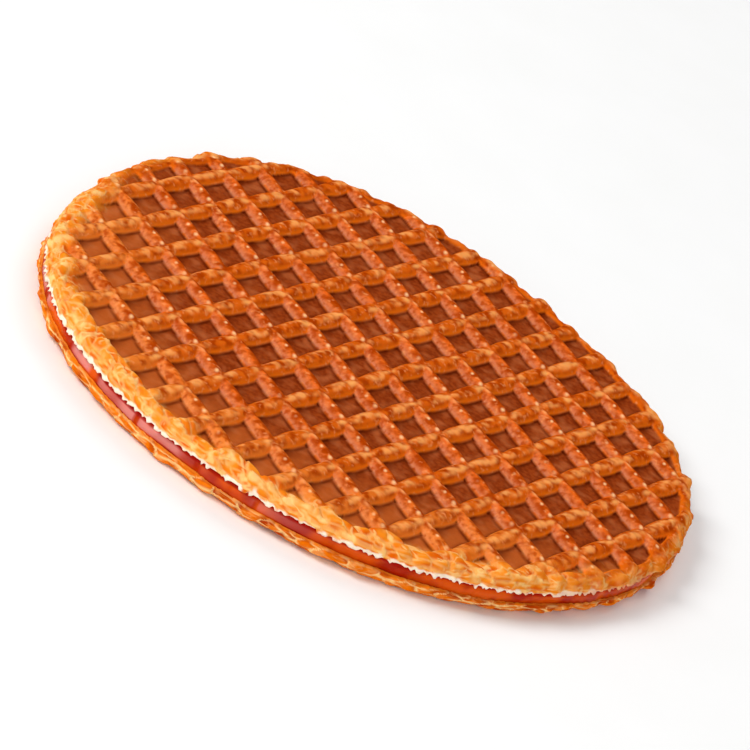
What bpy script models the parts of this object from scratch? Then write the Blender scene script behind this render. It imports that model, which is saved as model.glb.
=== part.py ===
"""A stroopwafel: two thin gridded wafers with a layer of caramel syrup between them.

The biscuit lies flat on the ridges of its lower wafer at Z = 0, with the origin under its middle.
The dimensions below are in millimetres, and MM turns them into Blender's metres.
"""

import math

import bmesh
import bpy
from mathutils import Matrix, Vector

MM = 0.001
COLLECTION = "stroopwafel"

# Outline: a ball of dough pressed flat in the iron, so it is a little out of round.
MEAN_RADIUS = 50.0
OUTLINE_SIDES = 90
# Each wave is its number of lobes, its height as a share of the radius, and the angle of a lobe.
OUTLINE_WAVES = ((3, 0.022, -5.7), (4, 0.011, 24.1))

# Layers, from the foot up. The gaps keep the layers separate solids.
WAFER_THICKNESS = 2.1
SYRUP_THICKNESS = 1.6
LAYER_GAP = 0.3

# Rim of a wafer: a thin upright edge at the cut face, then a rounded shoulder up to the ridges.
EDGE_HEIGHT = 0.85
SHOULDER_WIDTH = 3.0
SHOULDER_STEPS = 3

# Rim of the syrup: it stops short of the wafers and bulges a little between them.
SYRUP_INSET = 0.9
SYRUP_BULGE = 0.35
SYRUP_RIM_STEPS = 4

# Waffle grid: ridges run along two directions that aren't square to each other.
RIDGE_STEP_A = 8.4
RIDGE_STEP_B = 6.95
RIDGE_ANGLE_A = 63.6
RIDGE_ANGLE_B = -42.3
GRID_ORIGIN = Vector((6.7, 5.0))
PIT_DEPTH = 1.2
PIT_MOUTH = 0.90
PIT_FLOOR = 0.63
# The pits stop this far inside the outline, and the grid was pressed a little off centre.
FIELD_INSET = 3.4
FIELD_CENTRE = Vector((1.0, 1.0))
FIELD_WALL = 0.8
CUTTER_OVERSHOOT = 0.25

# Edges that turn more sharply than this, in degrees, are drawn as sharp ones.
SHARP_ANGLE = 35.0

# Colours are linear RGB.
WAFER_TOP_COLOUR = (0.56, 0.19, 0.035)
WAFER_BOTTOM_COLOUR = (0.60, 0.23, 0.045)
SYRUP_COLOUR = (0.24, 0.022, 0.005)


def outline_radius(angle):
    """Radius of the biscuit's outline, in millimetres, in the direction of this angle."""
    swell = sum(
        share * math.cos(lobes * (angle - math.radians(lobe_angle)))
        for lobes, share, lobe_angle in OUTLINE_WAVES
    )
    return MEAN_RADIUS * (1.0 + swell)


def outline_middle():
    """Middle of the outline's bounding box, measured from the centre that its radii start at."""
    turns = [2 * math.pi * side / OUTLINE_SIDES for side in range(OUTLINE_SIDES)]
    across = [outline_radius(turn) * math.cos(turn) for turn in turns]
    along = [outline_radius(turn) * math.sin(turn) for turn in turns]
    return Vector((min(across) + max(across), min(along) + max(along))) / 2


def clear_scene():
    """Removes whatever the scene holds, so that only the biscuit is in it."""
    for scene_object in list(bpy.data.objects):
        bpy.data.objects.remove(scene_object, do_unlink=True)


def make_collection(name):
    """A new collection inside the scene's own."""
    collection = bpy.data.collections.new(name)
    bpy.context.scene.collection.children.link(collection)
    return collection


def make_material(name, colour, roughness):
    """A plain Principled material of this linear colour and roughness."""
    material = bpy.data.materials.new(name)
    material.use_nodes = True
    shader = material.node_tree.nodes["Principled BSDF"]
    shader.inputs["Base Color"].default_value = (*colour, 1.0)
    shader.inputs["Roughness"].default_value = roughness
    shader.inputs["Metallic"].default_value = 0.0
    return material


def add_object(name, mesh, collection, material=None):
    """Turns a closed bmesh into a named object, with the outline's middle over the origin."""
    bmesh.ops.recalc_face_normals(mesh, faces=mesh.faces)
    data = bpy.data.meshes.new(name)
    mesh.to_mesh(data)
    mesh.free()
    data.shade_smooth()
    data.set_sharp_from_angle(angle=math.radians(SHARP_ANGLE))
    made = bpy.data.objects.new(name, data)
    made.location = (*(-outline_middle() * MM), 0.0)
    collection.objects.link(made)
    if material:
        data.materials.append(material)
    return made


def add_cutter(name, mesh, collection):
    """A helper solid that only shapes others, so it stays out of a render."""
    cutter = add_object(name, mesh, collection)
    cutter.hide_render = True
    cutter.display_type = "WIRE"
    return cutter


def place_ring(ring, inset, height, centre):
    """Moves a ring's points onto the outline, drawn in by the inset, at the height."""
    for vert in ring:
        angle = math.atan2(vert.co.y, vert.co.x)
        reach = outline_radius(angle) - inset
        direction = Vector((math.cos(angle), math.sin(angle)))
        vert.co = (*((centre + direction * reach) * MM), height * MM)


def outline_solid(section, centre=Vector((0.0, 0.0))):
    """A solid that follows the outline, its side given as (inset, height) pairs in order."""
    mesh = bmesh.new()
    bmesh.ops.create_circle(mesh, cap_ends=True, segments=OUTLINE_SIDES, radius=1.0)
    unit_points = [vert.co.copy() for vert in mesh.verts]
    place_ring(mesh.verts, *section[0], centre)
    edges = mesh.edges[:]
    for inset, height in section[1:]:
        raised = bmesh.ops.extrude_edge_only(mesh, edges=edges)["geom"]
        ring = [item for item in raised if isinstance(item, bmesh.types.BMVert)]
        edges = [item for item in raised if isinstance(item, bmesh.types.BMEdge)]
        for vert, point in zip(ring, unit_points):
            vert.co = point
        place_ring(ring, inset, height, centre)
    bmesh.ops.contextual_create(mesh, geom=edges)
    return mesh


def wafer_section(cut_face, side):
    """Side of a wafer from its cut face out to its ridges, which lie on the given side of it."""
    section = [(0.0, cut_face), (0.0, cut_face + side * EDGE_HEIGHT)]
    rise = WAFER_THICKNESS - EDGE_HEIGHT
    for step in range(1, SHOULDER_STEPS + 1):
        turn = math.pi / 2 * step / SHOULDER_STEPS
        inset = SHOULDER_WIDTH * (1.0 - math.cos(turn))
        section.append((inset, cut_face + side * (EDGE_HEIGHT + rise * math.sin(turn))))
    return section


def syrup_section(foot):
    """Side of the syrup from its lower face to its upper one, bulging out at half height."""
    section = []
    for step in range(SYRUP_RIM_STEPS + 1):
        share = step / SYRUP_RIM_STEPS
        inset = SYRUP_INSET - SYRUP_BULGE * math.sin(math.pi * share)
        section.append((inset, foot + SYRUP_THICKNESS * share))
    return section


def grid_directions():
    """The two vectors that carry one crossing of the ridges to the next, in millimetres."""
    along_a = math.radians(RIDGE_ANGLE_A)
    along_b = math.radians(RIDGE_ANGLE_B)
    step_a = Vector((math.cos(along_a), math.sin(along_a))) * RIDGE_STEP_A
    step_b = Vector((math.cos(along_b), math.sin(along_b))) * RIDGE_STEP_B
    return step_a, step_b


def pit_centres():
    """Centres of the pits that lie inside the field of the grid."""
    step_a, step_b = grid_directions()
    reach = math.ceil(2 * MEAN_RADIUS / RIDGE_STEP_B)
    centres = []
    for row in range(-reach, reach):
        for column in range(-reach, reach):
            centre = GRID_ORIGIN + step_a * (row + 0.5) + step_b * (column + 0.5)
            from_field = centre - FIELD_CENTRE
            angle = math.atan2(from_field.y, from_field.x)
            if from_field.length < outline_radius(angle) - FIELD_INSET - FIELD_WALL:
                centres.append(centre)
    return centres


def pits_mesh(ridge_face, side):
    """Every pit of one wafer as a four-sided frustum, narrowing from the ridges to its floor."""
    mesh = bmesh.new()
    step_a, step_b = grid_directions()
    depth = PIT_DEPTH + CUTTER_OVERSHOOT
    mouth = PIT_FLOOR + (PIT_MOUTH - PIT_FLOOR) * depth / PIT_DEPTH
    middle = ridge_face + side * (CUTTER_OVERSHOOT - depth / 2)
    # A cone of four sides has its corners on the axes, and a turn of 45 degrees squares it up.
    corner = math.sqrt(0.5)
    square_up = Matrix.Rotation(math.pi / 4, 4, "Z")
    for centre in pit_centres():
        skew = Matrix(
            (
                (step_a.x * MM, step_b.x * MM, 0.0, centre.x * MM),
                (step_a.y * MM, step_b.y * MM, 0.0, centre.y * MM),
                (0.0, 0.0, side * MM, middle * MM),
                (0.0, 0.0, 0.0, 1.0),
            )
        )
        bmesh.ops.create_cone(
            mesh,
            cap_ends=True,
            segments=4,
            radius1=PIT_FLOOR * corner,
            radius2=mouth * corner,
            depth=depth,
            matrix=skew @ square_up,
        )
    return mesh


def field_section(ridge_face, side):
    """Side of the solid that bounds the pits, sloping in from the ridges to the pit floors."""
    slope = FIELD_WALL / PIT_DEPTH
    top = FIELD_INSET - slope * CUTTER_OVERSHOOT * 2
    bottom = FIELD_INSET + slope * PIT_DEPTH * 2
    return [
        (bottom, ridge_face - side * PIT_DEPTH * 2),
        (top, ridge_face + side * CUTTER_OVERSHOOT * 2),
    ]


def add_boolean(target, operation, other):
    """Gives the target a Boolean modifier that works with the other object."""
    modifier = target.modifiers.new(operation.lower(), "BOOLEAN")
    modifier.operation = operation
    modifier.object = other


def add_wafer(name, cut_face, side, colour, parts, cutters):
    """One wafer: smooth on its cut face, pitted on the other, which lies on the given side."""
    ridge_face = cut_face + side * WAFER_THICKNESS
    material = make_material(name, colour, roughness=0.5)
    wafer = add_object(name, outline_solid(wafer_section(cut_face, side)), parts, material)
    pits = add_cutter(name + "_pits", pits_mesh(ridge_face, side), cutters)
    field_mesh = outline_solid(field_section(ridge_face, side), FIELD_CENTRE)
    field = add_cutter(name + "_field", field_mesh, cutters)
    add_boolean(pits, "INTERSECT", field)
    add_boolean(wafer, "DIFFERENCE", pits)
    return wafer


def main():
    """Stacks the layers from the foot up."""
    clear_scene()
    parts = make_collection(COLLECTION)
    cutters = make_collection(COLLECTION + "_cutters")
    lower_cut_face = WAFER_THICKNESS
    syrup_foot = lower_cut_face + LAYER_GAP
    upper_cut_face = syrup_foot + SYRUP_THICKNESS + LAYER_GAP
    add_wafer("wafer_bottom", lower_cut_face, -1, WAFER_BOTTOM_COLOUR, parts, cutters)
    syrup_material = make_material("syrup", SYRUP_COLOUR, roughness=0.15)
    add_object("syrup", outline_solid(syrup_section(syrup_foot)), parts, syrup_material)
    add_wafer("wafer_top", upper_cut_face, 1, WAFER_TOP_COLOUR, parts, cutters)


main()
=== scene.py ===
"""The looks of a stroopwafel: two halves of a baked waffle with caramel syrup between them.

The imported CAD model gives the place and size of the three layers. Each layer here is a finer mesh
that stands for one CAD node, worked out in millimetres and turned to metres when its object is made.
"""

from __future__ import annotations

import logging
import math
from dataclasses import dataclass, field
from enum import Enum

import bpy
import numpy as np
from mathutils import Matrix, Vector
from mathutils.geometry import delaunay_2d_cdt


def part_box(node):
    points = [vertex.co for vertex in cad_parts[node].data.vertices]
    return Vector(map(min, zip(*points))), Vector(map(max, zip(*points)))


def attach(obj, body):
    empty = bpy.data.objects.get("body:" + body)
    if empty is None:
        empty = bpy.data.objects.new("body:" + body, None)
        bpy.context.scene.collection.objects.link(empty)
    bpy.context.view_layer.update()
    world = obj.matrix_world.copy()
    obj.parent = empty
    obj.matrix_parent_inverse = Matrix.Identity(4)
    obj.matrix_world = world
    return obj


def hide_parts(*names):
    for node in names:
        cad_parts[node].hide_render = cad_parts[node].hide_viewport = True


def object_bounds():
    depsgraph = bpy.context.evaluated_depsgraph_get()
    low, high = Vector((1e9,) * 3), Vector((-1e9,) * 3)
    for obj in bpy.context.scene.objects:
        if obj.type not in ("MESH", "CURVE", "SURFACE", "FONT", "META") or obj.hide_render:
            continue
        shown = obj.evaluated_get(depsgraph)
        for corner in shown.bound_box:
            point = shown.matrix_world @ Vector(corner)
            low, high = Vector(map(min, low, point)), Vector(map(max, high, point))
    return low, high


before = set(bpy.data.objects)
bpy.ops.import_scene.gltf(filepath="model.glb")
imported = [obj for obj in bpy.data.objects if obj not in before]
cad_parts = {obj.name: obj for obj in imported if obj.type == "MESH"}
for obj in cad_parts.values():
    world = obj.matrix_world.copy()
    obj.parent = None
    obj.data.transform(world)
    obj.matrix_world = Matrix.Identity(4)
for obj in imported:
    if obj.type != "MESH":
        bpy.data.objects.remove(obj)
CAD_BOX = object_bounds()

MM = 0.001
BODY = "root"
# Sockets of the Mix node when it mixes colours.
MIX_A, MIX_B, MIX_RESULT = 6, 7, 2
Socket = bpy.types.NodeSocket
Tree = bpy.types.NodeTree

log = logging.getLogger("stroopwafel")


# ---------------------------------------------------------------------------------- small helpers


def linear(hex_colour: str) -> tuple[float, float, float, float]:
    """Turns an sRGB hex colour into linear RGBA.

    Args:
        hex_colour: six hex digits after a hash, such as "#C86A22".

    Returns:
        Linear red, green and blue, with an alpha of 1.
    """
    channels = [int(hex_colour[place : place + 2], 16) / 255 for place in (1, 3, 5)]
    red, green, blue = (
        value / 12.92 if value <= 0.04045 else ((value + 0.055) / 1.055) ** 2.4 for value in channels
    )
    return red, green, blue, 1.0


def smooth_rise(values: np.ndarray, start: float, end: float) -> np.ndarray:
    """Smooth step from 0 at start to 1 at end, or falling when end is below start.

    Args:
        values: what is compared with start and end.
        start: where the step begins.
        end: where the step is complete.

    Returns:
        An array from 0 to 1, the shape of values.
    """
    share = np.clip((values - start) / (end - start), 0.0, 1.0)
    return share * share * (3.0 - 2.0 * share)


def hashed(cells: np.ndarray, seed: int) -> np.ndarray:
    """Repeatable pseudo-random value from -1 to 1 for each whole-number cell.

    Args:
        cells: integer cell coordinates, shape (n, 3).
        seed: picks one of many independent fields.

    Returns:
        One value for each cell.
    """
    mixed = cells.astype(np.int64) & 0xFFFFFFFF
    number = (mixed[:, 0] * 73856093) ^ (mixed[:, 1] * 19349663) ^ (mixed[:, 2] * 83492791)
    number = (number ^ (seed * 2654435761)) & 0xFFFFFFFF
    for _ in range(2):
        number = ((number ^ (number >> 15)) * 2246822519) & 0xFFFFFFFF
        number = ((number ^ (number >> 13)) * 3266489917) & 0xFFFFFFFF
    return (number ^ (number >> 16)) / 0xFFFFFFFF * 2.0 - 1.0


def soft_noise(points: np.ndarray, size: float, seed: int) -> np.ndarray:
    """Smooth noise from about -1 to 1 whose lumps are about this size.

    Args:
        points: places in millimetres, shape (n, 3).
        size: distance between lumps in millimetres.
        seed: picks the field.

    Returns:
        One value for each point.
    """
    scaled = points / size
    cell = np.floor(scaled).astype(np.int64)
    inside = scaled - cell
    ease = inside**3 * (inside * (inside * 6 - 15) + 10)
    total = np.zeros(len(points))
    for corner in np.ndindex(2, 2, 2):
        weight = np.prod(np.where(corner, ease, 1.0 - ease), axis=1)
        total += weight * hashed(cell + np.array(corner), seed)
    return total


def spread(count: int) -> np.ndarray:
    """Angles in radians that spread this many points evenly round the rim."""
    return np.linspace(-math.pi, math.pi, count, endpoint=False)


def headings(turns: np.ndarray) -> np.ndarray:
    """Unit vectors in the direction of each angle, shape (n, 2)."""
    return np.stack((np.cos(turns), np.sin(turns)), axis=1)


def levelled(flat: np.ndarray, height: float | np.ndarray = 0.0) -> np.ndarray:
    """Flat points set at a height, shape (n, 3)."""
    return np.column_stack((flat, height + np.zeros(len(flat))))


def on_ring(turns: np.ndarray, level: float | np.ndarray, girth: float) -> np.ndarray:
    """Places on a ring, where noise meets itself after one turn.

    Args:
        turns: angle of each point, in radians.
        level: height of each point, in millimetres.
        girth: length of the ring.

    Returns:
        The places, shape (n, 3).
    """
    return levelled(headings(turns) * (girth / math.tau), level)


def quads(upper: int, rows: int, count: int, flipped: bool = False) -> list[tuple[int, ...]]:
    """Four-cornered faces between closed rings of points that follow each other.

    Args:
        upper: number of the first ring's first point.
        rows: how many rows of faces.
        count: points in a ring.
        flipped: turns the faces over.

    Returns:
        The corners of each face.
    """
    faces = []
    for start in range(upper, upper + rows * count, count):
        for place in range(count):
            after = (place + 1) % count
            face = (start + place, start + count + place, start + count + after, start + after)
            faces.append(face[::-1] if flipped else face)
    return faces


def plug(node: bpy.types.Node, inputs: dict) -> None:
    """Sets a node's inputs, by name or index, each to a value or by a link from an output socket."""
    for name, value in inputs.items():
        if isinstance(value, Socket):
            node.id_data.links.new(value, node.inputs[name])
        else:
            node.inputs[name].default_value = value


def add_node(
    tree: Tree, kind: str, inputs: dict | None = None, output: int | str = 0, **settings: object
) -> Socket:
    """Adds one shader node with its settings, values and links.

    Args:
        tree: the material's node tree.
        kind: Blender's name of the node type.
        inputs: what goes to each input, by name or index.
        output: name or index of the output that is used.
        settings: attributes of the node itself.

    Returns:
        The socket of that output.
    """
    node = tree.nodes.new(kind)
    for name, value in settings.items():
        setattr(node, name, value)
    plug(node, inputs or {})
    return node.outputs[output]


def new_material(name: str) -> tuple[bpy.types.Material, Tree, bpy.types.Node]:
    """Makes a node material with only its Principled shader and output.

    Args:
        name: the material's name.

    Returns:
        The material, its node tree and its Principled shader.
    """
    material = bpy.data.materials.new(name)
    material.use_nodes = True
    tree = material.node_tree
    return material, tree, tree.nodes["Principled BSDF"]


# ------------------------------------------------------------------------------------------ shapes


@dataclass(frozen=True)
class Outline:
    """The biscuit's outline seen from above: a disc that came out a little uneven."""

    mean_radius: float
    centre: tuple[float, float]
    # Number of lobes, height as a share of the radius, and the angle of a lobe in degrees.
    waves: tuple[tuple[int, float, float], ...] = ((3, 0.022, -5.7), (4, 0.011, 24.1))

    @classmethod
    def of_node(cls, node: str) -> Outline:
        """The outline that fills a CAD node's box.

        Args:
            node: name of the CAD node.

        Returns:
            The outline, in millimetres.
        """
        low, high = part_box(node)
        unit = cls(1.0, (0.0, 0.0))
        turns = np.linspace(0.0, math.tau, 720, endpoint=False)
        across = unit.radius(turns) * np.cos(turns)
        along = unit.radius(turns) * np.sin(turns)
        radius = (high.x - low.x) / MM / (across.max() - across.min())
        middle = ((low.x + high.x) / 2 / MM, (low.y + high.y) / 2 / MM)
        centre = (
            middle[0] - radius * (across.max() + across.min()) / 2,
            middle[1] - radius * (along.max() + along.min()) / 2,
        )
        return cls(radius, centre)

    def radius(self, turns: np.ndarray) -> np.ndarray:
        """Radius in the direction of each angle, in millimetres."""
        swell = sum(share * np.cos(lobes * (turns - math.radians(at))) for lobes, share, at in self.waves)
        return self.mean_radius * (1.0 + swell)

    def girth(self) -> float:
        """Length of the rim, taken as a circle of the mean radius."""
        return math.tau * self.mean_radius

    def polar(self, flat: np.ndarray) -> tuple[np.ndarray, np.ndarray]:
        """Angle of each point about the centre, and how far it lies inside the outline.

        Args:
            flat: points in the plane, shape (n, 2), in millimetres.

        Returns:
            The angles in radians, and the distances inside the outline in millimetres.
        """
        from_centre = flat - np.array(self.centre)
        turns = np.arctan2(from_centre[:, 1], from_centre[:, 0])
        return turns, self.radius(turns) - np.hypot(from_centre[:, 0], from_centre[:, 1])

    def at(self, turns: np.ndarray, inset: float | np.ndarray) -> np.ndarray:
        """Points that lie the inset inside the outline, at each angle, shape (n, 2)."""
        reach = self.radius(turns) - inset
        return headings(turns) * reach[:, None] + np.array(self.centre)


@dataclass(frozen=True)
class WaffleGrid:
    """The net of ridges that the waffle iron left, a little skewed, as the iron's was."""

    step_a: float = 8.4
    step_b: float = 6.95
    angle_a: float = 63.6
    angle_b: float = -42.3
    # A crossing of two ridges, measured from the outline's centre.
    origin: tuple[float, float] = (6.7, 5.0)
    # Half the width of a ridge at its foot: at a crossing, and how much more between crossings.
    foot_at_crossing: float = 1.08
    foot_bulge: float = 0.5
    skew: float = 1.35
    crown_pinch: float = 0.14
    pinch_reach: float = 0.8
    # The side of each family's ridges that is painted darker, as painted shade.
    shaded_sides: tuple[int, int] = (-1, 1)
    # How far the painted shade spreads from the foot of a ridge.
    foot_shade: float = 0.45
    # How far the lines wander, and over what distance.
    wander: float = 0.2
    wander_size: float = 13.0

    def steps(self) -> np.ndarray:
        """The two steps from one crossing to the next as the columns of a matrix."""
        turns = np.radians([self.angle_a, self.angle_b])
        return np.array([np.cos(turns), np.sin(turns)]) * np.array([self.step_a, self.step_b])

    def spacing(self) -> tuple[float, float]:
        """Distance between neighbouring lines of each family, measured square across them."""
        squareness = abs(math.sin(math.radians(self.angle_a - self.angle_b)))
        return self.step_a * squareness, self.step_b * squareness

    def lattice(self, flat: np.ndarray, centre: tuple[float, float]) -> np.ndarray:
        """Grid coordinates of points: whole numbers are ridge lines.

        Args:
            flat: points in the plane, shape (n, 2).
            centre: the outline's centre.

        Returns:
            Two coordinates for each point, shape (n, 2).
        """
        spots = levelled(flat)
        drift = np.stack([soft_noise(spots, self.wander_size, seed) for seed in (3, 4)], axis=1)
        from_origin = flat + drift * self.wander - np.array(centre) - np.array(self.origin)
        return from_origin @ np.linalg.inv(self.steps()).T

    def ridges(self, lattice: np.ndarray) -> tuple[np.ndarray, ...]:
        """Height of the two families of ridges, each a row of puffed segments between crossings.

        Args:
            lattice: grid coordinates, shape (n, 2).

        Returns:
            The ridge height from 0 to 1, the share of it that belongs to the first family, the painted
            shade near the foot of a ridge and in one corner of each pit, and its place across the ridge,
            from 0 at the foot painted as lit to 1 at the foot painted as shaded.
        """
        spacing = self.spacing()
        offset = lattice - np.round(lattice)
        heights = []
        to_foot = []
        shades_across = []
        for family in (0, 1):
            # Lines of constant second coordinate make the first family, and the other way round.
            across = np.abs(offset[:, 1 - family]) * spacing[1 - family]
            along = np.abs(offset[:, family]) * spacing[family]
            # Each segment is widest a little past its middle, where the dough puffed up most.
            part = lattice[:, family] - np.floor(lattice[:, family])
            middle = np.sin(math.pi * part**self.skew)
            foot = self.foot_at_crossing + self.foot_bulge * middle
            round_top = np.clip(1.0 - (across / foot) ** 2, 0.0, 1.0) ** 0.58
            crown = 1.0 - self.crown_pinch * np.exp(-((along / self.pinch_reach) ** 2))
            heights.append(round_top * crown)
            to_foot.append(np.abs(across - foot))
            # One side of each ridge is painted as shaded, the other as lit.
            toward_shade = self.shaded_sides[family] * offset[:, 1 - family] * spacing[1 - family]
            shades_across.append(np.clip(0.5 + 0.5 * toward_shade / foot, 0.0, 1.0))
        first, second = heights
        height = np.maximum(first, second)
        family_share = smooth_rise(first - second, -0.12, 0.12)
        nearest = np.minimum(*to_foot)
        # Painted shade: one corner of each pit is darkest, and the feet of the ridges are darker.
        part = lattice - np.floor(lattice)
        corner = smooth_rise(part[:, 1], 0.66, 0.2) * (0.4 + 0.6 * smooth_rise(part[:, 0], 0.75, 0.2))
        painted_shade = np.maximum(np.exp(-nearest / self.foot_shade), 0.9 * corner)
        shade_across = shades_across[0] * family_share + shades_across[1] * (1.0 - family_share)
        return height, family_share, painted_shade * (height < 0.6), shade_across


@dataclass(frozen=True)
class FoldBelt:
    """A belt of small overlapping folds of dough that runs round the rim, like shingles."""

    # Distances from the cut edge, over the surface, between which the folds lie.
    reach: tuple[float, float]
    # Mean length of a fold round the rim, its width across it, and how far it leans sideways.
    length: float
    width: float
    lean: float
    height: float
    seed: int
    # How far the folds' edges bend, over what distance, and how wide the edges are.
    bend: float = 0.55
    bend_size: float = 2.2
    edge_width: float = 0.3
    # How far the middle of a fold may lie off the middle of its cell, as a share of the cell.
    scatter: float = 0.42

    def folds(self, arc: np.ndarray, depth: np.ndarray, girth: float) -> tuple[np.ndarray, ...]:
        """How far the folds raise the surface, and where their edges show.

        Args:
            arc: distance round the rim, in millimetres.
            depth: distance in from the cut edge, over the surface.
            girth: length of the whole rim.

        Returns:
            The lift in millimetres, a line from 0 to 1 along the edges of the folds, and a tone
            from 0 to 1 that is highest where a fold stands up.
        """
        columns = round(girth / self.length)
        spots = on_ring(arc / girth * math.tau, depth, girth)
        bent = [self.bend * soft_noise(spots, self.bend_size, self.seed + step) for step in (1, 2)]
        place = np.stack(
            ((arc + bent[0] + self.lean * depth) / girth * columns, (depth + bent[1]) / self.width), axis=1
        )
        cell = np.floor(place).astype(np.int64)
        keys = []
        hearts = []
        for step in np.ndindex(3, 3):
            other = cell + np.array(step) - 1
            key = np.column_stack((other[:, 0] % columns, other[:, 1], np.zeros(len(arc), np.int64)))
            shift = np.stack([hashed(key, self.seed + part) for part in (3, 4)], axis=1)
            hearts.append(other + 0.5 + shift * self.scatter - place)
            keys.append(key)
        own = (np.argmin(np.sum(np.square(hearts), axis=2), axis=0), np.arange(len(arc)))
        near = np.array(hearts)[own]
        key = np.array(keys)[own] + (0, 0, 1)
        edge = np.full(len(arc), np.inf)
        for heart in hearts:
            across = heart - near
            span = np.hypot(across[:, 0], across[:, 1])
            apart = span > 1e-6
            heading = across[apart] / span[apart, None]
            away = np.sum((heart[apart] + near[apart]) / 2 * heading, axis=1)
            away /= np.hypot(heading[:, 0] / self.length, heading[:, 1] / self.width)
            edge[apart] = np.minimum(edge[apart], away)
        luck = hashed(key, self.seed + 5)
        facing = math.pi * hashed(key, self.seed + 6)
        slope = -near[:, 0] * np.cos(facing) - near[:, 1] * np.abs(np.sin(facing))
        inside = smooth_rise(depth, self.reach[0] - 0.3, self.reach[0] + 0.3)
        inside = inside * smooth_rise(depth, self.reach[1] + 0.8, self.reach[1] - 0.8)
        puff = 1.0 - np.exp(-edge / (2.2 * self.edge_width))
        lift = self.height * (0.6 * puff + 0.6 * slope + 0.2 * luck) * inside
        tone = np.clip(0.5 + 0.9 * slope + 0.25 * luck, 0.0, 1.0)
        line = np.exp(-((edge / self.edge_width) ** 2)) * inside
        return lift, line, tone * inside


class RimStyle(Enum):
    """How the rim of a wafer came out of the iron."""

    PALE_CRUMB = "pale folds over a torn white crumb edge"
    ROPED = "golden folds laid like the strands of a rope"


@dataclass
class LayerMesh:
    """Points, faces and painted values of a layer, before they become an object."""

    points: np.ndarray
    faces: list[tuple[int, ...]]
    values: dict[str, np.ndarray]
    # Grid coordinates of each point, kept as a UV map.
    lattice: np.ndarray | None = None


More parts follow.
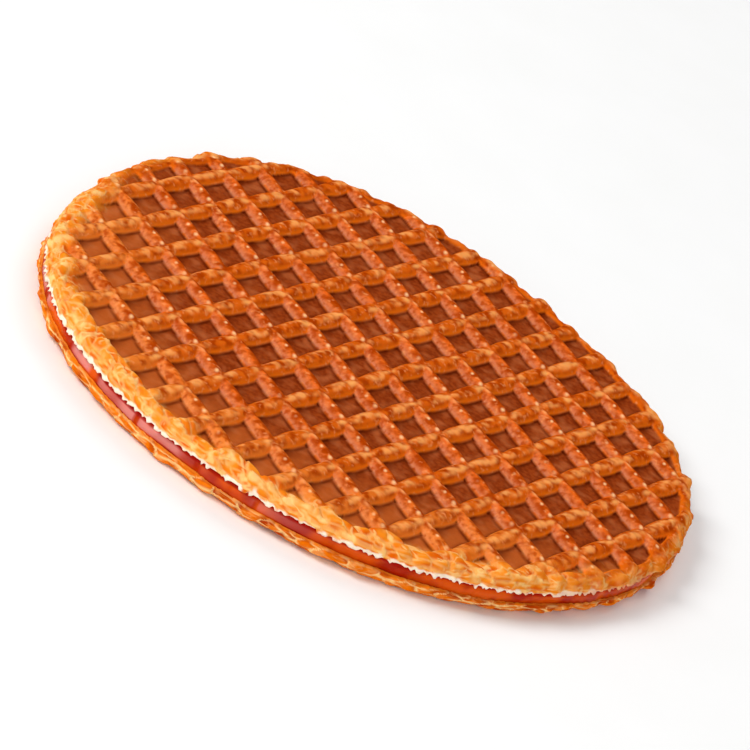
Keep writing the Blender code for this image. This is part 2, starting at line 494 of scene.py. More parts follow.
@dataclass(frozen=True)
class Wafer:
    """One half of the waffle: a cut face towards the syrup, and the grid of ridges outside."""

    name: str
    node: str
    slot: str
    side: int
    style: RimStyle
    grid: WaffleGrid = WaffleGrid()
    # Height of the outer face at the cut edge, and how far in it has risen to its full height.
    edge_height: float = 0.62
    shoulder_width: float = 3.0
    pit_depth: float = 1.3
    least_thickness: float = 0.5
    # Width of the rim without pits, and of the belt where they fade in, at their widest and narrowest.
    rim_widths: tuple[float, float] = (1.3, 1.35)
    fade_widths: tuple[float, float] = (2.6, 1.0)
    wide_rim_at: float = -114.0
    # How deep the dents between the ridges still are at the cut edge, as a share of the pits' depth.
    edge_pressing: float = 0.26
    # Width of the belt of pale folds, and of the torn crumb along the edge.
    pale_width: float = 4.9
    crumb_width: float = 0.36
    # The mesh: points round the rim, the width and number of its rings and the gap inside them, rows
    # down the side, and points in each cell of the grid, which lie closer at the ridges.
    sectors: int = 1200
    rim_depth: float = 4.4
    rim_rings: int = 17
    rim_gap: float = 0.22
    side_rows: int = 5
    cell_samples: tuple[int, int] = (24, 20)
    closer_at_ridges: float = 0.25

    def flat_points(self, outline: Outline) -> np.ndarray:
        """Points of the outer face seen from above: the grid's own, then the rings of the rim.

        Args:
            outline: the wafer's outline.

        Returns:
            The points, shape (n, 2), which end with the outermost ring.
        """
        reach = math.ceil(2 * outline.mean_radius / self.grid.step_b)
        axes = []
        for samples in self.cell_samples:
            even = np.arange(samples) / samples
            close = even - self.closer_at_ridges * np.sin(math.tau * even) / math.tau
            axes.append((np.arange(-reach, reach)[:, None] + close[None, :]).ravel())
        across, along = np.meshgrid(*axes, indexing="ij")
        lattice = np.stack((across.ravel(), along.ravel()), axis=1)
        flat = lattice @ self.grid.steps().T + np.array(self.grid.origin) + np.array(outline.centre)
        _, inset = outline.polar(flat)
        inner = flat[inset > self.rim_depth + self.rim_gap]
        turns = spread(self.sectors)
        shares = (np.arange(self.rim_rings, -1, -1) / self.rim_rings) ** 1.2
        rings = [outline.at(turns, ring_inset) for ring_inset in self.rim_depth * shares]
        return np.concatenate([inner, *rings])

    def rim_share(self, turns: np.ndarray) -> np.ndarray:
        """How wide and pale the rim is at each angle, from 0 to 1."""
        return smooth_rise(np.cos(turns - math.radians(self.wide_rim_at)), -0.08, 0.5)

    def crown(self, inset: np.ndarray) -> np.ndarray:
        """Height of the face before its pits are pressed in, rounding down to the edge.

        Args:
            inset: distance inside the outline.

        Returns:
            One height for each point.
        """
        share = np.clip(inset / self.shoulder_width, 0.0, 1.0)
        rise = self.thickness() - self.edge_height
        return self.edge_height + rise * np.sqrt(1.0 - (1.0 - share) ** 2)

    def thickness(self) -> float:
        """Height of the CAD node's box, in millimetres."""
        low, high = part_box(self.node)
        return (high.z - low.z) / MM

    def belts(self) -> list[FoldBelt]:
        """The folds on this wafer's rim.

        Returns:
            One belt or more. Their lifts add up.
        """
        if self.style is RimStyle.PALE_CRUMB:
            return [
                FoldBelt((1.2, 5.6), 2.5, 2.3, 0.6, 0.7, 11),
                FoldBelt((0.0, 1.7), 2.6, 0.55, 0.0, 0.24, 31, bend=0.2, edge_width=0.16),
            ]
        return [FoldBelt((0.0, 4.0), 3.4, 0.9, 0.5, 0.4, 51, bend=0.25, edge_width=0.13)]

    def folded(self, arc: np.ndarray, depth: np.ndarray, girth: float) -> tuple[np.ndarray, ...]:
        """All the belts' folds together.

        Args:
            arc: distance round the rim, in millimetres.
            depth: distance in from the cut edge, over the surface.
            girth: length of the whole rim.

        Returns:
            Their lift in millimetres, the line of their edges and their tone.
        """
        lifts, lines, tones = zip(*[belt.folds(arc, depth, girth) for belt in self.belts()])
        return sum(lifts), np.max(lines, axis=0), np.max(tones, axis=0)

    def torn(self, spots: np.ndarray, depth: np.ndarray, share: np.ndarray) -> np.ndarray:
        """How much the white crumb shows along the torn edge.

        Args:
            spots: places of the points, shape (n, 3).
            depth: distance in from the cut edge, over the surface.
            share: how wide and pale the rim is there.

        Returns:
            A value from 0 to 1 for each point.
        """
        strength = 0.1 + 0.9 * share if self.style is RimStyle.PALE_CRUMB else 0.15
        ragged = 0.3 * soft_noise(spots, 1.3, 81) + 0.25 * soft_noise(spots, 0.6, 82)
        return smooth_rise(depth + ragged, self.crumb_width, 0.45 * self.crumb_width) * strength

    def shape(self, outline: Outline) -> LayerMesh:
        """Works out the wafer's closed mesh, with the cut face at height 0 and the ridges above it.

        Args:
            outline: the wafer's outline.

        Returns:
            The mesh with its painted values.
        """
        flat = self.flat_points(outline)
        turns, inset = outline.polar(flat)
        inset = np.maximum(inset, 0.0)
        girth = outline.girth()
        lattice = self.grid.lattice(flat, outline.centre)
        ridge, family, foot, shade_across = self.grid.ridges(lattice)

        # The pits fade out towards the rim, over a wide pale band on one side of the biscuit.
        share = self.rim_share(turns)
        rim_width = self.rim_widths[1] + (self.rim_widths[0] - self.rim_widths[1]) * share
        fade_width = self.fade_widths[1] + (self.fade_widths[0] - self.fade_widths[1]) * share
        level = levelled(flat)
        wobble = soft_noise(level, 5.0, 31)
        pressed = smooth_rise((inset + 0.5 * wobble - rim_width) / fade_width, 0.0, 1.0)
        at_edge = self.edge_pressing
        pressed = at_edge + (1.0 - at_edge) * pressed
        crown = self.crown(inset)
        height = np.maximum(crown - self.pit_depth * pressed * (1.0 - ridge), self.least_thickness)

        # The folds follow the surface from the cut edge, up the side and in over the shoulder.
        depth = self.edge_height + inset * 1.08
        arc = (turns + math.pi) * outline.mean_radius
        lift, line, tone = self.folded(arc, depth, girth)
        belt_fade = smooth_rise(inset + 0.9 * wobble, self.pale_width, 0.35 * self.pale_width)
        spots = levelled(flat, height)
        grain = soft_noise(spots, 0.9, 41) * 0.03 + soft_noise(spots, 2.6, 42) * 0.06
        strength = belt_fade * (0.3 + 0.7 * share)
        height = height + lift * strength * smooth_rise(inset, -0.4, 1.4) + grain
        height += 0.3 * soft_noise(level, 1.9, 45) * smooth_rise(inset, 2.4, 0.4) * (1.0 - 0.6 * share)
        height = np.minimum(height, self.thickness() + (0.15 if self.side > 0 else 0.0))

        # Near the edge the folds push outwards as well as up, and each ridge ends in a bump.
        close = smooth_rise(inset, 2.4, 0.1)
        out = lift * strength * smooth_rise(inset, 2.0, 0.0)
        out += 0.2 * soft_noise(spots, 1.8, 43) * close
        out += (0.35 * (ridge - 0.5) + 0.7 * soft_noise(level, 1.9, 44)) * (1.0 - 0.7 * share) * close
        heading = headings(turns)
        points = levelled(flat + heading * out[:, None], height)

        _, _, found, *_ = delaunay_2d_cdt(
            [Vector(spot) for spot in self.evened(flat, outline)], [], [], 0, 1e-9, False
        )
        faces: list[tuple[int, ...]] = [tuple(face) for face in found]
        # The painted shade at the ridges' feet and pit corners, and the side of each ridge painted as lit or
        # shaded, go into the values below.
        values = {
            "ridge": 1.0 - pressed * (1.0 - ridge),
            "family": np.maximum(family, smooth_rise(inset, 3.4, 2.0)),
            "foot": foot * pressed,
            "shade_across": shade_across + (0.6 - shade_across) * smooth_rise(inset, 3.4, 2.0),
            "fading": share * smooth_rise(inset + wobble, 24.0, 2.0),
            "pale": self.paleness(belt_fade, share, inset),
            "line": line * strength,
            "tone": tone,
            "crumb": self.torn(level, depth, share),
        }
        mesh = LayerMesh(points, faces, values, lattice)
        self.add_side(mesh, outline)
        return mesh

    def paleness(self, belt_fade: np.ndarray, share: np.ndarray, inset: np.ndarray) -> np.ndarray:
        """How pale the rim is: least on the side where it is narrow.

        Args:
            belt_fade: how far each point lies within the belt of folds, from 0 to 1.
            share: how wide and pale the rim is there.
            inset: distance inside the outline.

        Returns:
            A value from 0 to 1 for each point.
        """
        if self.style is RimStyle.ROPED:
            return belt_fade
        narrow = 0.55 * smooth_rise(inset, 1.7, 0.5)
        return belt_fade * share + narrow * (1.0 - share)

    def evened(self, flat: np.ndarray, outline: Outline) -> np.ndarray:
        """Evens the outline to a true circle, so that the points' hull is the rim.

        Args:
            flat: points in the plane, shape (n, 2).
            outline: the wafer's outline.

        Returns:
            The points in a unit circle.
        """
        from_centre = flat - np.array(outline.centre)
        turns = np.arctan2(from_centre[:, 1], from_centre[:, 0])
        return from_centre / outline.radius(turns)[:, None]

    def add_side(self, mesh: LayerMesh, outline: Outline) -> None:
        """Closes the wafer with its upright side and its cut face.

        Args:
            mesh: the outer face, which ends with its outermost ring. Grows in place.
            outline: the wafer's outline.
        """
        count = self.sectors
        turns = spread(count)
        heading = headings(turns)
        arc = (turns + math.pi) * outline.mean_radius
        girth = outline.girth()
        top_ring = mesh.points[-count:]
        share = self.rim_share(turns)
        teeth = self.teeth(arc, girth)
        base = outline.at(turns, 0.0)
        level = levelled(base)
        top_out = np.sum((top_ring[:, :2] - base) * heading, axis=1)
        rows = []
        painted = []
        for step in range(1, self.side_rows + 1):
            down = step / self.side_rows
            height = top_ring[:, 2] * (1.0 - down) - 0.45 * teeth * down**2
            depth = np.maximum(height, 0.0)
            lift, line, tone = self.folded(arc, depth, girth)
            spots = levelled(base, height * 2.0)
            rough = 0.12 * soft_noise(spots, 0.6, 51) + 0.12 * soft_noise(spots, 1.5, 52)
            out = top_out * (1.0 - down) + (lift * 0.7 + rough) * math.sin(math.pi * min(1.0, down + 0.25))
            out += (0.3 * teeth + 0.06) * down
            rows.append(levelled(base + heading * out[:, None], height))
            painted.append({"crumb": self.torn(level, depth, share), "line": line, "tone": tone})
        for inset in (0.7, 2.0):
            rows.append(levelled(outline.at(turns, inset)))
            # The cut face is all crumb.
            crumb = {name: np.full(count, float(name in ("crumb", "pale", "tone"))) for name in mesh.values}
            painted.append(crumb)
        # What a row doesn't paint stays as it is on the outer face's last ring.
        for name, value in mesh.values.items():
            painted_rows = [row.get(name, value[-count:]) for row in painted]
            mesh.values[name] = np.concatenate((value, *painted_rows))
        mesh.lattice = np.concatenate((mesh.lattice, *[mesh.lattice[-count:]] * len(rows)))
        upper = len(mesh.points) - count
        mesh.points = np.concatenate((mesh.points, *rows))
        mesh.faces.extend(quads(upper, len(rows), count))
        last = upper + len(rows) * count
        mesh.faces.append(tuple(last + place for place in reversed(range(count))))

    def teeth(self, arc: np.ndarray, girth: float) -> np.ndarray:
        """Torn crumb teeth along the cut edge.

        Args:
            arc: distance round the rim, in millimetres.
            girth: length of the whole rim.

        Returns:
            A value from 0 to 1 for each point.
        """
        ring = on_ring(arc / girth * math.tau, 0.0, girth)
        ragged = 0.4 + 1.3 * soft_noise(ring, 0.42, 61) + 0.7 * soft_noise(ring, 0.9, 62)
        return np.clip(ragged, 0.0, 1.0) * (0.75 + 0.25 * soft_noise(ring, 4.0, 63))

    def build(self, finish: BakedWaffle) -> bpy.types.Object:
        """Makes the wafer's object and gives it its finish.

        Args:
            finish: the baked surface.

        Returns:
            The wafer's object, standing for its CAD node.
        """
        mesh = self.shape(Outline.of_node(self.node))
        low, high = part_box(self.node)
        cut_face = low.z if self.side > 0 else high.z
        mesh.points *= MM
        mesh.points[:, 2] = cut_face + self.side * mesh.points[:, 2]
        if self.side < 0:
            mesh.faces = [face[::-1] for face in mesh.faces]
        return make_piece(self.name, self.node, mesh, finish.material())


@dataclass(frozen=True)
class SyrupLayer:
    """The caramel syrup that holds the wafers together, pressed out almost to the rim."""

    name: str = "caramel_layer"
    node: str = "syrup"
    slot: str = "caramel_syrup"
    overlap: float = 0.32
    extra_inset: float = -0.3
    bulge: float = 0.35
    # How far the syrup draws back under the top wafer.
    tuck: float = 2.6
    # Length and height of the swells where one trickle of syrup ran into the next.
    swell_length: float = 7.5
    swell_height: float = 0.3
    # The side where the painted sheen, a painted reflection, is strongest, in degrees.
    sheen_at: float = -155.0
    sectors: int = 1200
    rows: int = 12

    def steps(self, arc: np.ndarray, girth: float) -> np.ndarray:
        """Low swells along the rim with a short crease between each two.

        Args:
            arc: distance round the rim, in millimetres.
            girth: length of the whole rim.

        Returns:
            How far each point stands out, in millimetres: 0 on a swell, below 0 in a crease.
        """
        turns = arc / girth * math.tau
        place = turns / math.tau * round(girth / self.swell_length)
        place = place + 0.3 * np.sin(9 * turns) + 0.2 * np.sin(17 * turns + 1.0)
        swell = np.abs(np.sin(math.pi * place)) ** 0.2
        return self.swell_height * (swell - 1.0)

    def painted(self, turns: np.ndarray, spots: np.ndarray, girth: float) -> dict[str, np.ndarray]:
        """Where a painted sheen, a painted reflection, lies in broad flat stretches, and where painted
        shadow lies under the crumb.

        Args:
            turns: angle of each sector, in radians.
            spots: places of the sectors, shape (n, 3).
            girth: length of the whole rim.

        Returns:
            The painted values, row by row from the foot up.
        """
        arc = (turns + math.pi) / math.tau * girth
        full = smooth_rise(self.steps(arc, girth) / self.swell_height, -0.32, -0.2)
        # The painted sheen is strongest on one side of the biscuit.
        sheen_side = smooth_rise(np.cos(turns - math.radians(self.sheen_at)), 0.25, 0.75)
        bright = 0.85 * smooth_rise(soft_noise(spots, 8.0, 74), -0.6, -0.3) * sheen_side
        sheen = []
        shadow = []
        for row in range(self.rows + 1):
            up = np.full(len(turns), row / self.rows) + 0.06 * soft_noise(spots, 5.0, 75)
            band = smooth_rise(up, 0.1, 0.2) * smooth_rise(up, 0.72, 0.62)
            sheen.append(np.clip(full * bright, 0.0, 1.0) * band)
            shadow.append(smooth_rise(up, 0.62, 0.74))
        return {"sheen": np.concatenate(sheen), "shadow": np.concatenate(shadow)}

    def build(self, finish: CaramelSyrup) -> bpy.types.Object:
        """Makes the syrup's object and gives it its finish.

        Args:
            finish: the glossy syrup.

        Returns:
            The syrup's object, standing for its CAD node.
        """
        outline = Outline.of_node(self.node)
        low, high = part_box(self.node)
        foot = low.z / MM - self.overlap
        top = high.z / MM + self.overlap
        turns = spread(self.sectors)
        base = outline.at(turns, 0.0)
        spots = levelled(base)
        slow = 0.2 * soft_noise(spots, 9.0, 71) + 0.08 * soft_noise(spots, 3.5, 72)
        arc = (turns + math.pi) * outline.mean_radius
        slow += self.steps(arc, outline.girth())
        heading = headings(turns)
        rows = []
        for row in range(self.rows + 1):
            up = row / self.rows
            belly = self.bulge * math.sin(math.pi * min(1.0, 0.15 + 0.85 * up)) ** 0.6
            tucked = self.tuck * max(0.0, up - 0.55) ** 1.5
            tilt = 0.4 * soft_noise(spots, 6.0, 73) * (up - 0.5)
            out = slow + belly + tilt - tucked - self.extra_inset - self.bulge
            rows.append(levelled(base + heading * out[:, None], foot + (top - foot) * up))
        count = self.sectors
        faces = quads(0, self.rows, count, flipped=True)
        faces.append(tuple(reversed(range(count))))
        faces.append(tuple(self.rows * count + place for place in range(count)))
        painted = self.painted(turns, spots, outline.girth())
        mesh = LayerMesh(np.concatenate(rows) * MM, faces, painted)
        return make_piece(self.name, self.node, mesh, finish.material())


def make_piece(
    name: str, node: str, mesh: LayerMesh, material: bpy.types.Material
) -> bpy.types.Object:
    """Turns a layer's mesh into a smooth object that rides with the biscuit.

    Args:
        name: the piece's name.
        node: the CAD node that it stands for.
        mesh: the layer's mesh, by now in metres.
        material: the finish.

    Returns:
        The new object.
    """
    data = bpy.data.meshes.new(name)
    data.from_pydata(mesh.points.tolist(), [], mesh.faces)
    data.validate()
    data.shade_smooth()
    for value_name, numbers in mesh.values.items():
        layer = data.attributes.new(value_name, "FLOAT", "POINT")
        layer.data.foreach_set("value", numbers.astype(np.float32))
    if mesh.lattice is not None:
        corners = np.empty(len(data.loops), np.int32)
        data.loops.foreach_get("vertex_index", corners)
        grid_map = data.uv_layers.new(name="grid")
        grid_map.uv.foreach_set("vector", mesh.lattice[corners].astype(np.float32).ravel())
    data.materials.append(material)
    piece = bpy.data.objects.new(name, data)
    bpy.context.scene.collection.objects.link(piece)
    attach(piece, BODY)
    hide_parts(node)
    log.info("%s: %d points, %d faces", name, len(data.vertices), len(data.polygons))
    return piece


# ---------------------------------------------------------------------------------------- finishes


@dataclass(frozen=True)
class Where:
    """A value that says where a coat of colour lies, eased softly between two levels.

    With no start, the value is taken as it is. The ease falls when end is below start.
    """

    value: str
    start: float | None = None
    end: float = 1.0
    most: float = 1.0


@dataclass(frozen=True)
class Coat:
    """A coat of colour that lies over what is below it, at one place and within others."""

    colour: str | Socket
    place: Where
    within: tuple[Where, ...] = ()


@dataclass
class Palette:
    """A material's node tree, with the values that its colours go by, each under its name."""

    tree: Tree
    values: dict[str, Socket] = field(default_factory=dict)

    def paint(self, names: tuple[str, ...]) -> None:
        """Takes up the values of these names that are painted on the mesh."""
        for name in names:
            self.values[name] = add_node(self.tree, "ShaderNodeAttribute", output="Fac", attribute_name=name)

    def share(self, *places: Where) -> Socket:
        """The share where all of these places hold at once.

        Args:
            places: one place or more.

        Returns:
            The socket of the product of their eased values.
        """
        product = None
        for place in places:
            eased = self.values[place.value]
            if place.start is not None:
                low, high, floor, ceiling = place.start, place.end, 0.0, place.most
                if low > high:
                    low, high, floor, ceiling = high, low, ceiling, floor
                inputs = {0: eased, 1: low, 2: high, 3: floor, 4: ceiling}
                eased = add_node(self.tree, "ShaderNodeMapRange", inputs, interpolation_type="SMOOTHSTEP")
            if product is not None:
                eased = add_node(self.tree, "ShaderNodeMath", {0: product, 1: eased}, operation="MULTIPLY")
            product = eased
        return product

    def coated(self, base: str | Socket, *coats: Coat) -> Socket:
        """Lays coats of colour over a base.

        Args:
            base: what lies under them all, a hex colour or a socket.
            coats: the coats, from the lowest up.

        Returns:
            The socket of the finished colour.
        """
        colour = linear(base) if isinstance(base, str) else base
        for coat in coats:
            upper = linear(coat.colour) if isinstance(coat.colour, str) else coat.colour
            inputs = {0: self.share(coat.place, *coat.within), MIX_A: colour, MIX_B: upper}
            colour = add_node(self.tree, "ShaderNodeMix", inputs, MIX_RESULT, data_type="RGBA")
        return colour


@dataclass(frozen=True)
class BakedWaffle:
    """Baked waffle dough, pressed in a hot iron greased with butter.

    The iron browns the pits most, so they are the darkest. The ridges puff up and stay orange with
    brown blisters, and the rim, which the iron hardly touched, stays cream. The crust is dry and
    finely pitted, so it has no mirror shine of its own. Light and shade are painted into its colour:
    pale crowns, glints, knobs and tips are painted highlights, the first family's ridges have a painted
    glow low on their flanks, the second family's a painted pink sheen on one side, each ridge has
    painted shade on one side, and painted shade darkens the feet of the ridges and one corner of each pit.
    """

    name: str = "baked_waffle"
    pit: str = "#984016"
    pit_dark: str = "#80300E"
    pit_light: str = "#BE5E26"
    pit_bloom: str = "#C26C3C"
    # Painted shade at the feet of the ridges and in one corner of each pit.
    pit_shade: str = "#5C1802"
    ridge: str = "#DA6010"
    # Painted glow low on the first family's flanks.
    ridge_glow: str = "#F27410"
    # Brown mottles on the second family, and painted shade on one side of the first.
    ridge_brown: str = "#B24406"
    # Painted shade on one side of the second family.
    ridge_shade: str = "#A03404"
    # Peach mottles, and the painted highlight at each crossing's tip.
    ridge_peach: str = "#F49A5A"
    # With the next colour, steps from the second family's painted sheen to its painted shade.
    ridge_red: str = "#E2621A"
    ridge_salmon: str = "#DC6E34"
    # Painted pink sheen on one side of the second family.
    ridge_pink_sheen: str = "#CE7C56"
    # Painted highlights on the first family's crests and at each crossing's knob.
    crown: str = "#FFAA5C"
    blister: str = "#A43600"
    # Painted glints: small pale highlights on the ridges.
    butter: str = "#FFC88E"
    light_dough: str = "#F08C38"
    rim: str = "#F28A1E"
    rim_crease: str = "#E05E04"
    rim_line: str = "#FFD084"
    crumb: str = "#FFE8D0"
    roughness: float = 0.4
    gloss: float = 0.0
    # Sizes in millimetres of the soft clouds that each coat goes by. The real crumb in the pits is
    # about half of what "crumb_clouds" says, too fine to show, so it is drawn coarser.
    cloud_sizes: tuple[tuple[str, float], ...] = (
        ("crumb_clouds", 0.7),
        ("blooms", 2.4),
        ("blisters", 1.5),
        ("crests", 1.9),
        ("mottles", 0.8),
        ("shades", 2.2),
        ("breaks", 1.6),
    )
    # Size in millimetres of the curls of the flaky layers at the rim, and of the crust's fine grain.
    layer_size: tuple[float, float, float] = (2.4, 2.4, 1.1)
    grain_size: float = 0.35
    grain_depth: float = 0.12
    layer_strength: float = 0.65
    line_strength: float = 0.45
    tone_strength: float = 0.8
    # Places of the painted glints, small pale highlights: how far along a ridge's segment, how far down its
    # side, and size.
    glints: tuple[tuple[float, float, float], ...] = ((0.50, 0.34, 0.3), (0.84, 0.30, 0.4))

    def material(self) -> bpy.types.Material:
        """Builds the node material.

        Returns:
            The material.
        """
        material, tree, shader = new_material(self.name)
        place = add_node(tree, "ShaderNodeTexCoord", output="Object")
        palette = self.palette(tree, place)
        inputs = {"Vector": place, "Scale": 1 / (self.grain_size * MM), "Detail": 3.0}
        grain = add_node(tree, "ShaderNodeTexNoise", inputs)
        dulled = {0: grain, 1: 0.3, 2: 0.7, 3: self.roughness - 0.08, 4: self.roughness + 0.12}
        edges = palette.share(Where("layers"), Where("pale"))
        height = add_node(tree, "ShaderNodeMath", {0: edges, 1: 1.2, 2: grain}, operation="MULTIPLY_ADD")
        relief = {"Height": height, "Strength": 0.4, "Distance": self.grain_depth * MM}
        finish = {
            "Base Color": self.rim_colour(palette, self.painted_highlights(tree, self.grid_colour(palette))),
            "Roughness": add_node(tree, "ShaderNodeMapRange", dulled),
            "Normal": add_node(tree, "ShaderNodeBump", relief),
            "Specular IOR Level": self.gloss,
            "IOR": 1.46,
            "Subsurface Weight": 0.15,
            "Subsurface Radius": (1.0, 0.35, 0.1),
            "Subsurface Scale": 0.7 * MM,
        }
        plug(shader, finish)
        return material

    def palette(self, tree: Tree, place: Socket) -> Palette:
        """Gathers the values that the colours go by: those painted on the mesh, clouds and curls.

        Args:
            tree: the node tree.
            place: object coordinates.

        Returns:
            The palette.
        """
        palette = Palette(tree)
        palette.paint(("ridge", "family", "foot", "shade_across", "fading", "pale", "line", "tone", "crumb"))
        values = palette.values
        for name, size in self.cloud_sizes:
            inputs = {"Vector": place, "Scale": 1 / (size * MM), "Detail": 1.5, "Roughness": 0.45}
            values[name] = add_node(tree, "ShaderNodeTexNoise", inputs)
        # Folds that stand up are paler, unevenly.
        inputs = {0: values["tone"], 1: 0.4, 2: values["shades"]}
        values["shade"] = add_node(tree, "ShaderNodeMath", inputs, operation="MULTIPLY_ADD")
        # Curling edges of the flaky layers lie where a warped noise is half-way, and come and go.
        scale = tuple(1 / (size * MM) for size in self.layer_size)
        stretched = add_node(tree, "ShaderNodeVectorMath", {0: place, 1: scale}, operation="MULTIPLY")
        inputs = {"Vector": stretched, "Scale": 1.0, "Detail": 0.0, "Distortion": 0.4}
        swirl = add_node(tree, "ShaderNodeTexNoise", inputs)
        off = add_node(tree, "ShaderNodeMath", {0: swirl, 1: 0.5}, operation="SUBTRACT")
        values["off"] = add_node(tree, "ShaderNodeMath", {0: off}, operation="ABSOLUTE")
        values["layers"] = palette.share(Where("off", 0.11, 0.0), Where("breaks", 0.4, 0.6))
        return palette

    def grid_colour(self, palette: Palette) -> Socket:
        """Colour of the pits and ridges.

        Args:
            palette: the values that the coats go by.

        Returns:
            The colour's socket.
        """
        pit = palette.coated(
            self.pit_dark,
            Coat(self.pit, Where("crumb_clouds", 0.25, 0.75)),
            Coat(self.pit_light, Where("fading", 0.0, 0.9, 0.75)),
            Coat(self.pit_bloom, Where("blooms", 0.42, 0.72, 0.45)),
            # Painted shade at the ridges' feet and in one corner of each pit.
            Coat(self.pit_shade, Where("foot", 0.1, 1.0, 0.8)),
        )
        # The first family has a painted glow low on its flanks, and painted shade on one side.
        warm = palette.coated(
            self.ridge_glow,
            Coat(self.ridge, Where("ridge", 0.35, 0.8)),
            Coat(self.ridge_brown, Where("shade_across", 0.3, 0.65, 0.35)),
        )
        # The second family is redder, with a painted pink sheen on one side and painted shade on the other.
        red = palette.coated(
            self.ridge_pink_sheen,
            Coat(self.ridge_salmon, Where("shade_across", 0.0, 0.24)),
            Coat(self.ridge_red, Where("shade_across", 0.2, 0.42)),
            Coat(self.ridge_shade, Where("shade_across", 0.46, 0.72, 0.85)),
        )
        # Blisters keep to the crest and off the foot painted as lit.
        crest_off_lit_side = (Where("ridge", 0.4, 0.75), Where("shade_across", -0.1, 0.35))
        ridge = palette.coated(
            red,
            Coat(warm, Where("family")),
            Coat(self.light_dough, Where("fading", 0.2, 1.0, 0.5)),
            Coat(self.blister, Where("blisters", 0.38, 0.66, 0.95), crest_off_lit_side),
            # Painted highlights: pale crowns on the first family's crests.
            Coat(self.crown, Where("ridge", 0.7, 1.0, 0.75), (Where("crests", 0.42, 0.7), Where("family"))),
            Coat(self.ridge_brown, Where("mottles", 0.48, 0.72, 0.8), (Where("family", 1.0, 0.0),)),
            Coat(self.ridge_peach, Where("mottles", 0.46, 0.2, 0.6)),
        )
        return palette.coated(pit, Coat(ridge, Where("ridge", 0.05, 0.4)))

    def painted_highlights(self, tree: Tree, bare: Socket) -> Socket:
        """Lays painted highlights: small pale glints on the ridges, and a pale knob and tip at each
        crossing.

        Args:
            tree: the node tree.
            bare: the colour without these painted highlights.

        Returns:
            The colour's socket.
        """
        grid = WaffleGrid()
        down_step = grid.spacing()[0]
        lattice = add_node(tree, "ShaderNodeUVMap", uv_map="grid")
        colour = bare
        # The knob, the tip and the glints are painted highlights.
        knob = ((0.86, 0.03), (1.1, 0.42), self.crown)
        tip = ((-0.02, 0.2), (0.36, 0.75), self.ridge_peach)
        glints = [((-down / down_step, along), (size, size), self.butter) for along, down, size in self.glints]
        for centre, radii, hue in [tip, knob, *glints]:
            # Each cell has its own spot, a little off its place, so the cell is cut half-way round it.
            cut = (centre[0] - 0.5, centre[1] - 0.5, 0.0)
            inside = add_node(tree, "ShaderNodeVectorMath", {0: lattice, 1: cut}, operation="SUBTRACT")
            cell = add_node(tree, "ShaderNodeVectorMath", {0: inside}, operation="FLOOR")
            part = add_node(tree, "ShaderNodeVectorMath", {0: inside}, operation="FRACTION")
            luck = add_node(tree, "ShaderNodeTexWhiteNoise", {"Vector": cell}, "Value")
            inputs = {0: luck.node.outputs["Color"], 1: (-0.06, -0.12, 0.0), 2: part}
            moved = add_node(tree, "ShaderNodeVectorMath", inputs, operation="MULTIPLY_ADD")
            # The middle of the cell less half of the largest move.
            inputs = {0: moved, 1: (0.47, 0.44, 0.0)}
            away = add_node(tree, "ShaderNodeVectorMath", inputs, operation="SUBTRACT")
            inputs = {0: away, 1: (grid.step_a / radii[0], grid.step_b / radii[1], 0.0)}
            scaled = add_node(tree, "ShaderNodeVectorMath", inputs, operation="MULTIPLY")
            reach = add_node(tree, "ShaderNodeVectorMath", {0: scaled}, "Value", operation="LENGTH")
            spots = Palette(tree, {"reach": reach, "luck": luck})
            spot = Coat(hue, Where("reach", 1.5, 0.0, 0.9), (Where("luck", 0.0, 0.55),))
            colour = spots.coated(colour, spot)
        return colour

    def rim_colour(self, palette: Palette, inner: Socket) -> Socket:
        """Colour of the whole face, with the pale folds of the rim laid over the grid's.

        Args:
            palette: the values that the coats go by.
            inner: the grid's colour.

        Returns:
            The colour's socket.
        """
        rim = palette.coated(
            self.rim_crease,
            Coat(self.rim, Where("shade", 0.42, 0.78)),
            Coat(self.rim_line, Where("shade", 0.78, 1.05, self.tone_strength)),
            Coat(self.rim_line, Where("line", 0.1, 1.0, self.line_strength)),
            Coat(self.rim_line, Where("layers", 0.0, 1.0, self.layer_strength)),
        )
        return palette.coated(inner, Coat(rim, Where("pale")), Coat(self.crumb, Where("crumb")))


@dataclass(frozen=True)
class CaramelSyrup:
    """Set caramel syrup: boiled sugar, butter and cinnamon, poured hot and pressed flat.

    Light goes in and comes out orange-red where the syrup is clear, and dark red where it is deep.
    Its skin is duller than glass. The long pale stretches on its side are a painted reflection, and the dark
    red under the crumb is painted shadow.
    """

    name: str = "caramel_syrup"
    colour: str = "#DC5608"
    deep: str = "#AA2002"
    # Painted reflection in long pale stretches on the syrup's side, and painted shadow under the crumb.
    sheen: str = "#DA8880"
    shadow: str = "#A80E04"
    # Size in millimetres of the clear and deep stretches.
    depth_size: float = 5.0
    roughness: float = 0.25
    gloss: float = 0.08

    def material(self) -> bpy.types.Material:
        """Builds the node material.

        Returns:
            The material.
        """
        material, tree, shader = new_material(self.name)
        place = add_node(tree, "ShaderNodeTexCoord", output="Object")
        inputs = {"Vector": place, "Scale": 1 / (self.depth_size * MM), "Detail": 2.0}
        palette = Palette(tree, {"clear": add_node(tree, "ShaderNodeTexNoise", inputs)})
        palette.paint(("sheen", "shadow"))
        # Over the syrup's own colours lie a painted sheen and a painted shadow under the crumb.
        colour = palette.coated(
            self.deep,
            Coat(self.colour, Where("clear", 0.38, 0.62)),
            Coat(self.sheen, Where("sheen")),
            Coat(self.shadow, Where("shadow")),
        )
        finish = {
            "Base Color": colour,
            "Roughness": self.roughness,
            "IOR": 1.5,
            "Specular IOR Level": self.gloss,
            "Subsurface Weight": 0.4,
            "Subsurface Radius": (1.0, 0.25, 0.08),
            "Subsurface Scale": 1.5 * MM,
        }
        plug(shader, finish)
        return material


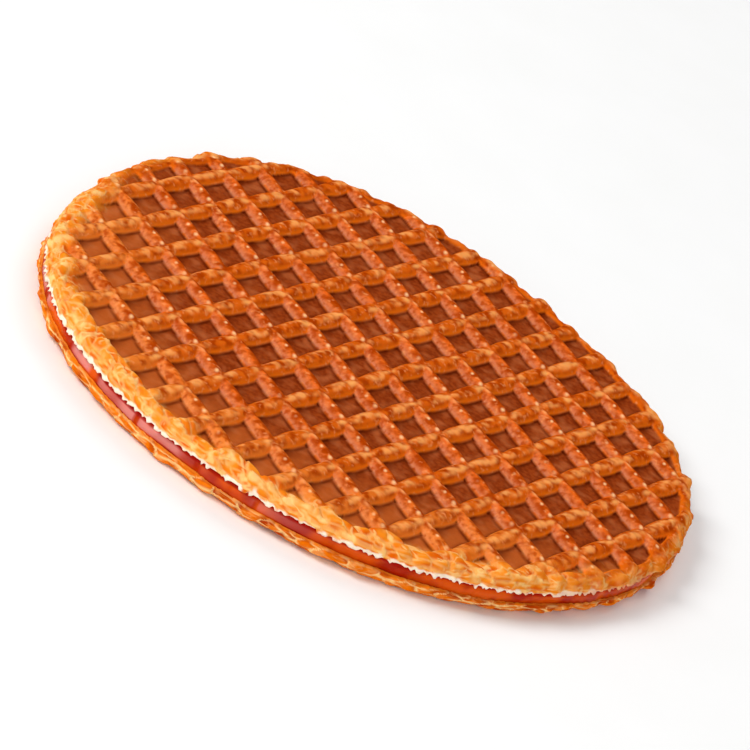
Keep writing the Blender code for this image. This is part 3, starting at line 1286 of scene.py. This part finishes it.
@dataclass(frozen=True)
class MattePaper:
    """Matt white studio paper, unrolled flat, with a faint cloud of fibre in its white."""

    name: str = "matte_paper"
    colour: str = "#FBFBFA"
    fibre: str = "#FFFFFF"

    def material(self) -> bpy.types.Material:
        """Builds the node material.

        Returns:
            The material.
        """
        material, tree, shader = new_material(self.name)
        place = add_node(tree, "ShaderNodeTexCoord", output="Object")
        # Real fibre is far too fine to show, so it is drawn as clouds about 17 mm across.
        inputs = {"Vector": place, "Scale": 60.0, "Detail": 2.0}
        palette = Palette(tree, {"fibre": add_node(tree, "ShaderNodeTexNoise", inputs)})
        colour = palette.coated(self.colour, Coat(self.fibre, Where("fibre")))
        plug(shader, {"Base Color": colour, "Roughness": 0.9, "Specular IOR Level": 0.1})
        return material


# ------------------------------------------------------------------------------------------ studio


@dataclass(frozen=True)
class SoftBox:
    """A soft rectangular studio light that faces the biscuit."""

    name: str
    azimuth: float
    elevation: float
    distance: float
    width: float
    watts: float
    colour: str = "#FFFFFF"

    def build(self, target: Vector) -> bpy.types.Object:
        """Makes the light and turns it to the target.

        Args:
            target: what it faces, in metres.

        Returns:
            The light's object.
        """
        light = bpy.data.lights.new(self.name, "AREA")
        light.shape = "SQUARE"
        light.size = self.width
        light.energy = self.watts
        light.color = linear(self.colour)[:3]
        lamp = bpy.data.objects.new(self.name, light)
        around = math.radians(self.azimuth)
        up = math.radians(self.elevation)
        away = Vector((math.cos(around) * math.cos(up), math.sin(around) * math.cos(up), math.sin(up)))
        lamp.location = target + away * self.distance
        lamp.rotation_euler = away.to_track_quat("Z", "Y").to_euler()
        bpy.context.scene.collection.objects.link(lamp)
        return lamp


@dataclass(frozen=True)
class Camera:
    """A camera on the -Y side that looks down at the biscuit and is rolled about its own axis."""

    elevation: float = 26.8
    roll: float = 28.6
    distance: float = 0.545
    sensor: float = 36.0
    # Share of the frame's width that the biscuit takes.
    fill: float = 0.86
    # The rolled disc is this share of its diameter across, as the camera sees it.
    rolled_width: float = 0.925

    def build(self, low: Vector, high: Vector) -> bpy.types.Object:
        """Makes the camera and aims it at the middle of the box.

        Args:
            low: lowest corner of the biscuit's box, in metres.
            high: its highest corner.

        Returns:
            The camera's object.
        """
        target = (low + high) / 2
        up = math.radians(self.elevation)
        away = Vector((0.0, -math.cos(up), math.sin(up)))
        data = bpy.data.cameras.new("camera")
        data.sensor_width = self.sensor
        data.lens = self.fill * self.sensor * self.distance / ((high.x - low.x) * self.rolled_width)
        data.clip_start = 0.01
        data.clip_end = 20.0
        camera = bpy.data.objects.new("camera", data)
        turn = away.to_track_quat("Z", "Y").to_matrix().to_4x4()
        camera.matrix_world = (
            Matrix.Translation(target + away * self.distance)
            @ turn
            @ Matrix.Rotation(math.radians(self.roll), 4, "Z")
        )
        bpy.context.scene.collection.objects.link(camera)
        bpy.context.scene.camera = camera
        return camera


@dataclass(frozen=True)
class Studio:
    """Plain pale floor, soft light all round and a brighter soft box from the left."""

    floor_size: float = 6.0
    sky: str = "#FFFFFF"
    sky_strength: float = 0.40
    boxes: tuple[SoftBox, ...] = (
        SoftBox("key_light", -155.0, 42.0, 0.9, 0.4, 5.0),
        SoftBox("back_light", 75.0, 48.0, 1.1, 0.7, 3.0),
        SoftBox("front_light", -80.0, 20.0, 1.2, 0.8, 4.0),
    )

    def build(self, low: Vector, high: Vector) -> None:
        """Makes the floor, the sky and the lights, and sets how colours are shown.

        Args:
            low: lowest corner of the biscuit's box, in metres.
            high: its highest corner.
        """
        data = bpy.data.meshes.new("floor")
        half = self.floor_size / 2
        corners = [(-half, -half, low.z), (half, -half, low.z), (half, half, low.z), (-half, half, low.z)]
        data.from_pydata(corners, [], [(0, 1, 2, 3)])
        data.materials.append(MattePaper().material())
        floor = bpy.data.objects.new("floor", data)
        bpy.context.scene.collection.objects.link(floor)
        for box in self.boxes:
            box.build((low + high) / 2)
        world = bpy.data.worlds.new("sky")
        bpy.context.scene.world = world
        world.use_nodes = True
        sky = world.node_tree.nodes["Background"]
        sky.inputs["Color"].default_value = linear(self.sky)
        sky.inputs["Strength"].default_value = self.sky_strength
        bpy.context.scene.view_settings.view_transform = "Standard"
        bpy.context.scene.view_settings.look = "None"


# -------------------------------------------------------------------------------------------- main


def main() -> None:
    """Builds the biscuit layer by layer, then the studio around it."""
    logging.basicConfig(level=logging.INFO, format="%(name)s: %(message)s")
    low, high = CAD_BOX
    low, high = Vector(low), Vector(high)
    top = Wafer("top_wafer", "wafer_top", "baked_wafer", 1, RimStyle.PALE_CRUMB)
    bottom = Wafer(
        "bottom_wafer", "wafer_bottom", "baked_wafer_under", -1, RimStyle.ROPED, edge_pressing=0.12
    )
    top.build(BakedWaffle("baked_waffle_top"))
    SyrupLayer().build(CaramelSyrup())
    bottom.build(
        BakedWaffle(
            "baked_waffle_bottom",
            rim="#EE7608",
            rim_crease="#B43600",
            rim_line="#FFD48C",
            crumb="#E88A2C",
            layer_size=(2.0, 2.0, 0.5),
            layer_strength=0.2,
            line_strength=0.95,
            tone_strength=0.25,
        )
    )
    Studio().build(low, high)
    Camera().build(low, high)


if __name__ == "__main__":
    main()
